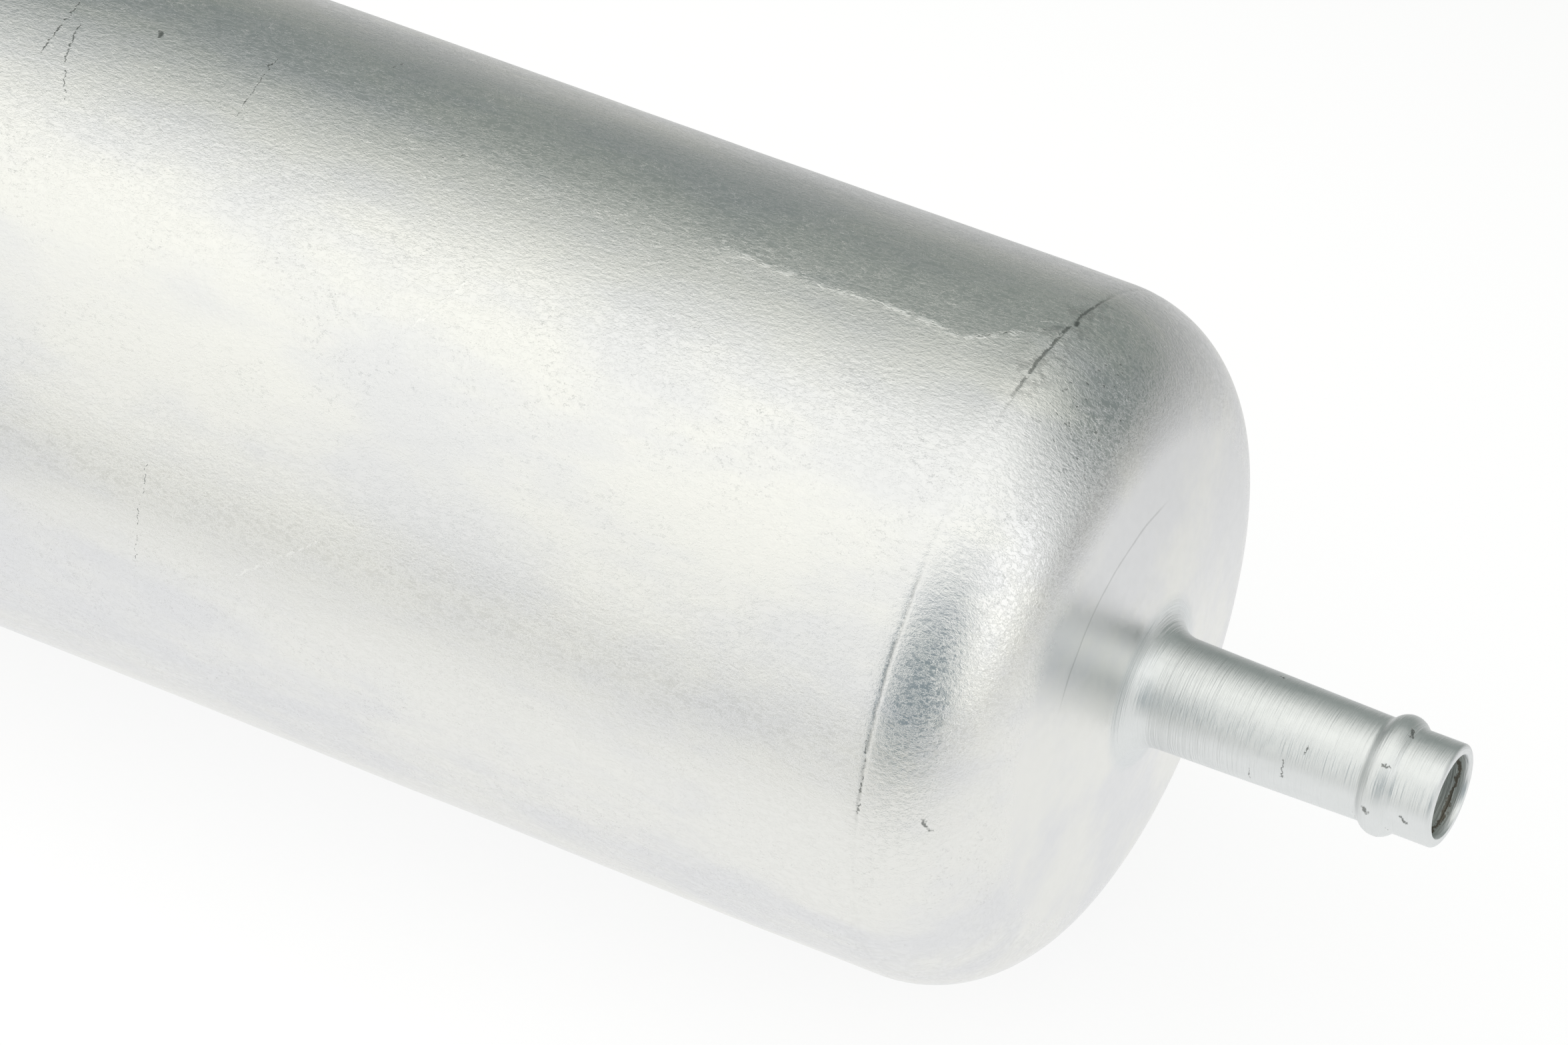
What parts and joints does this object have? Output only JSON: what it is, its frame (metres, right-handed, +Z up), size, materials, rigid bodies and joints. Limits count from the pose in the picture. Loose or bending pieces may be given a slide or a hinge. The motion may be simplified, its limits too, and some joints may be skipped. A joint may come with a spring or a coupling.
{
  "type": "in-line fuel filter",
  "caption": "In-line fuel filter: round aluminium can with a hose spigot at each end, a double-seamed cover and a pleated paper element held by a spring.",
  "frame": {"origin": "on the can's axis, midway between the tips of the two spigots", "axes": "+X along the axis from inlet to outlet, towards the outlet spigot's tip; +Z up with the filter lying on its side"},
  "size_m": [0.2, 0.0602, 0.0602],
  "materials": {
    "can_aluminium": "satin bare metal with a fine orange-peel grain, light scratches and a turned ring mark",
    "cover_aluminium": "satin rolled sheet, polished along the seam",
    "turned_aluminium": "bright, with fine turning rings",
    "tinned_steel": "satin tinned sheet",
    "spring_steel": "dark drawn wire",
    "rubber": "matt black fuel-resistant rubber",
    "filter_paper": "resin-impregnated paper, matt",
    "plastisol": "cast end potting, slightly glossy",
    "hot_melt": "translucent glue bead"
  },
  "bodies": {
    "root": {"filter_can": "can_aluminium", "cover_plate": "cover_aluminium", "seam_gasket": "rubber", "inlet_spigot": "turned_aluminium", "inlet_spigot_seal": "rubber", "inlet_spigot_washer": "tinned_steel", "element_spring": "spring_steel", "support_plate": "tinned_steel", "inlet_end_disc": "tinned_steel", "inlet_potting": "plastisol", "pleat_pack": "filter_paper", "pleat_seam_clip": "tinned_steel", "pleat_band_1": "hot_melt", "pleat_band_2": "hot_melt", "pleat_band_3": "hot_melt", "centre_tube": "tinned_steel", "outlet_strainer": "tinned_steel", "outlet_potting": "plastisol", "outlet_end_disc": "tinned_steel", "outlet_seal_ring": "rubber"}
  },
  "joints": []
}
